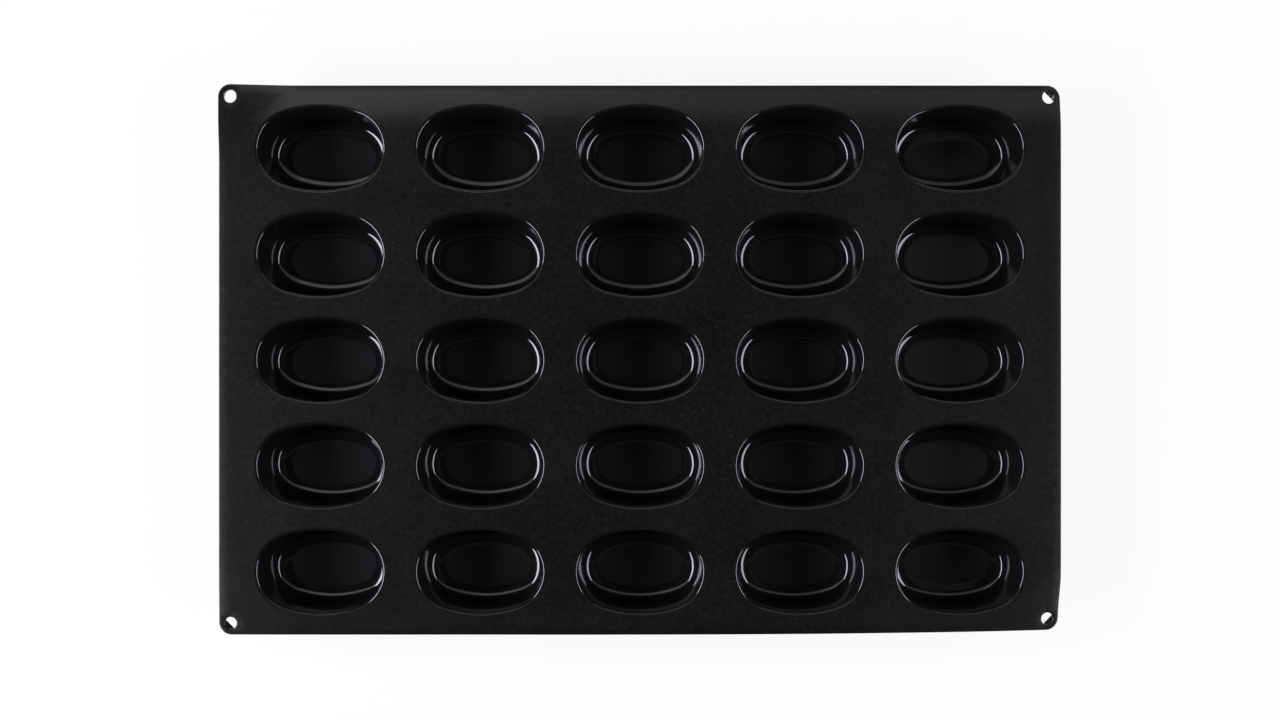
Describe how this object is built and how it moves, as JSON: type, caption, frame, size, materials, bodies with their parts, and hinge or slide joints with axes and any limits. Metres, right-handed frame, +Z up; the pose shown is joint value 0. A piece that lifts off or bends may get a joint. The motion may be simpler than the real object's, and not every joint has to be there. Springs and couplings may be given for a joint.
{
  "type": "silicone baking mould",
  "caption": "Flexible black silicone baking mould: a flat sheet with a grid of drafted oval cups whose floors push up to release the cakes, and hanging holes in its corners.",
  "frame": {"origin": "on the surface that the cups stand on, under the middle of the grid of cups", "axes": "+X along the long side, +Y along the short side towards the back row, +Z up out of the cups' mouths"},
  "size_m": [0.6, 0.3914, 0.038],
  "materials": {
    "satin_silicone": "satin",
    "gloss_silicone": "gloss"
  },
  "bodies": {
    "mould": {"border_back": "satin_silicone", "border_front": "satin_silicone", "sheet_left": "satin_silicone", "sheet_c1_c2": "satin_silicone", "sheet_c2_c3": "satin_silicone", "sheet_c3_c4": "satin_silicone", "sheet_c4_c5": "satin_silicone", "sheet_right": "satin_silicone", "cup_wall_r1_c1": "gloss_silicone", "cup_wall_r1_c2": "gloss_silicone", "cup_wall_r1_c3": "gloss_silicone", "cup_wall_r1_c4": "gloss_silicone", "cup_wall_r1_c5": "gloss_silicone", "cup_wall_r2_c1": "gloss_silicone", "cup_wall_r2_c2": "gloss_silicone", "cup_wall_r2_c3": "gloss_silicone", "cup_wall_r2_c4": "gloss_silicone", "cup_wall_r2_c5": "gloss_silicone", "cup_wall_r3_c1": "gloss_silicone", "cup_wall_r3_c2": "gloss_silicone", "cup_wall_r3_c3": "gloss_silicone", "cup_wall_r3_c4": "gloss_silicone", "cup_wall_r3_c5": "gloss_silicone", "cup_wall_r4_c1": "gloss_silicone", "cup_wall_r4_c2": "gloss_silicone", "cup_wall_r4_c3": "gloss_silicone", "cup_wall_r4_c4": "gloss_silicone", "cup_wall_r4_c5": "gloss_silicone", "cup_wall_r5_c1": "gloss_silicone", "cup_wall_r5_c2": "gloss_silicone", "cup_wall_r5_c3": "gloss_silicone", "cup_wall_r5_c4": "gloss_silicone", "cup_wall_r5_c5": "gloss_silicone"},
    "floor_r1_c1": {"cup_floor_r1_c1": "gloss_silicone"},
    "floor_r1_c2": {"cup_floor_r1_c2": "gloss_silicone"},
    "floor_r1_c3": {"cup_floor_r1_c3": "gloss_silicone"},
    "floor_r1_c4": {"cup_floor_r1_c4": "gloss_silicone"},
    "floor_r1_c5": {"cup_floor_r1_c5": "gloss_silicone"},
    "floor_r2_c1": {"cup_floor_r2_c1": "gloss_silicone"},
    "floor_r2_c2": {"cup_floor_r2_c2": "gloss_silicone"},
    "floor_r2_c3": {"cup_floor_r2_c3": "gloss_silicone"},
    "floor_r2_c4": {"cup_floor_r2_c4": "gloss_silicone"},
    "floor_r2_c5": {"cup_floor_r2_c5": "gloss_silicone"},
    "floor_r3_c1": {"cup_floor_r3_c1": "gloss_silicone"},
    "floor_r3_c2": {"cup_floor_r3_c2": "gloss_silicone"},
    "floor_r3_c3": {"cup_floor_r3_c3": "gloss_silicone"},
    "floor_r3_c4": {"cup_floor_r3_c4": "gloss_silicone"},
    "floor_r3_c5": {"cup_floor_r3_c5": "gloss_silicone"},
    "floor_r4_c1": {"cup_floor_r4_c1": "gloss_silicone"},
    "floor_r4_c2": {"cup_floor_r4_c2": "gloss_silicone"},
    "floor_r4_c3": {"cup_floor_r4_c3": "gloss_silicone"},
    "floor_r4_c4": {"cup_floor_r4_c4": "gloss_silicone"},
    "floor_r4_c5": {"cup_floor_r4_c5": "gloss_silicone"},
    "floor_r5_c1": {"cup_floor_r5_c1": "gloss_silicone"},
    "floor_r5_c2": {"cup_floor_r5_c2": "gloss_silicone"},
    "floor_r5_c3": {"cup_floor_r5_c3": "gloss_silicone"},
    "floor_r5_c4": {"cup_floor_r5_c4": "gloss_silicone"},
    "floor_r5_c5": {"cup_floor_r5_c5": "gloss_silicone"}
  },
  "joints": [
    {"name": "push_out_r1_c1", "type": "slide", "parent": "mould", "child": "floor_r1_c1", "axis": [0, 0, 1], "range_m": [0, 0.028], "stiffness_N_per_m": 250},
    {"name": "push_out_r1_c2", "type": "slide", "parent": "mould", "child": "floor_r1_c2", "axis": [0, 0, 1], "range_m": [0, 0.028], "stiffness_N_per_m": 250},
    {"name": "push_out_r1_c3", "type": "slide", "parent": "mould", "child": "floor_r1_c3", "axis": [0, 0, 1], "range_m": [0, 0.028], "stiffness_N_per_m": 250},
    {"name": "push_out_r1_c4", "type": "slide", "parent": "mould", "child": "floor_r1_c4", "axis": [0, 0, 1], "range_m": [0, 0.028], "stiffness_N_per_m": 250},
    {"name": "push_out_r1_c5", "type": "slide", "parent": "mould", "child": "floor_r1_c5", "axis": [0, 0, 1], "range_m": [0, 0.028], "stiffness_N_per_m": 250},
    {"name": "push_out_r2_c1", "type": "slide", "parent": "mould", "child": "floor_r2_c1", "axis": [0, 0, 1], "range_m": [0, 0.028], "stiffness_N_per_m": 250},
    {"name": "push_out_r2_c2", "type": "slide", "parent": "mould", "child": "floor_r2_c2", "axis": [0, 0, 1], "range_m": [0, 0.028], "stiffness_N_per_m": 250},
    {"name": "push_out_r2_c3", "type": "slide", "parent": "mould", "child": "floor_r2_c3", "axis": [0, 0, 1], "range_m": [0, 0.028], "stiffness_N_per_m": 250},
    {"name": "push_out_r2_c4", "type": "slide", "parent": "mould", "child": "floor_r2_c4", "axis": [0, 0, 1], "range_m": [0, 0.028], "stiffness_N_per_m": 250},
    {"name": "push_out_r2_c5", "type": "slide", "parent": "mould", "child": "floor_r2_c5", "axis": [0, 0, 1], "range_m": [0, 0.028], "stiffness_N_per_m": 250},
    {"name": "push_out_r3_c1", "type": "slide", "parent": "mould", "child": "floor_r3_c1", "axis": [0, 0, 1], "range_m": [0, 0.028], "stiffness_N_per_m": 250},
    {"name": "push_out_r3_c2", "type": "slide", "parent": "mould", "child": "floor_r3_c2", "axis": [0, 0, 1], "range_m": [0, 0.028], "stiffness_N_per_m": 250},
    {"name": "push_out_r3_c3", "type": "slide", "parent": "mould", "child": "floor_r3_c3", "axis": [0, 0, 1], "range_m": [0, 0.028], "stiffness_N_per_m": 250},
    {"name": "push_out_r3_c4", "type": "slide", "parent": "mould", "child": "floor_r3_c4", "axis": [0, 0, 1], "range_m": [0, 0.028], "stiffness_N_per_m": 250},
    {"name": "push_out_r3_c5", "type": "slide", "parent": "mould", "child": "floor_r3_c5", "axis": [0, 0, 1], "range_m": [0, 0.028], "stiffness_N_per_m": 250},
    {"name": "push_out_r4_c1", "type": "slide", "parent": "mould", "child": "floor_r4_c1", "axis": [0, 0, 1], "range_m": [0, 0.028], "stiffness_N_per_m": 250},
    {"name": "push_out_r4_c2", "type": "slide", "parent": "mould", "child": "floor_r4_c2", "axis": [0, 0, 1], "range_m": [0, 0.028], "stiffness_N_per_m": 250},
    {"name": "push_out_r4_c3", "type": "slide", "parent": "mould", "child": "floor_r4_c3", "axis": [0, 0, 1], "range_m": [0, 0.028], "stiffness_N_per_m": 250},
    {"name": "push_out_r4_c4", "type": "slide", "parent": "mould", "child": "floor_r4_c4", "axis": [0, 0, 1], "range_m": [0, 0.028], "stiffness_N_per_m": 250},
    {"name": "push_out_r4_c5", "type": "slide", "parent": "mould", "child": "floor_r4_c5", "axis": [0, 0, 1], "range_m": [0, 0.028], "stiffness_N_per_m": 250},
    {"name": "push_out_r5_c1", "type": "slide", "parent": "mould", "child": "floor_r5_c1", "axis": [0, 0, 1], "range_m": [0, 0.028], "stiffness_N_per_m": 250},
    {"name": "push_out_r5_c2", "type": "slide", "parent": "mould", "child": "floor_r5_c2", "axis": [0, 0, 1], "range_m": [0, 0.028], "stiffness_N_per_m": 250},
    {"name": "push_out_r5_c3", "type": "slide", "parent": "mould", "child": "floor_r5_c3", "axis": [0, 0, 1], "range_m": [0, 0.028], "stiffness_N_per_m": 250},
    {"name": "push_out_r5_c4", "type": "slide", "parent": "mould", "child": "floor_r5_c4", "axis": [0, 0, 1], "range_m": [0, 0.028], "stiffness_N_per_m": 250},
    {"name": "push_out_r5_c5", "type": "slide", "parent": "mould", "child": "floor_r5_c5", "axis": [0, 0, 1], "range_m": [0, 0.028], "stiffness_N_per_m": 250}
  ]
}
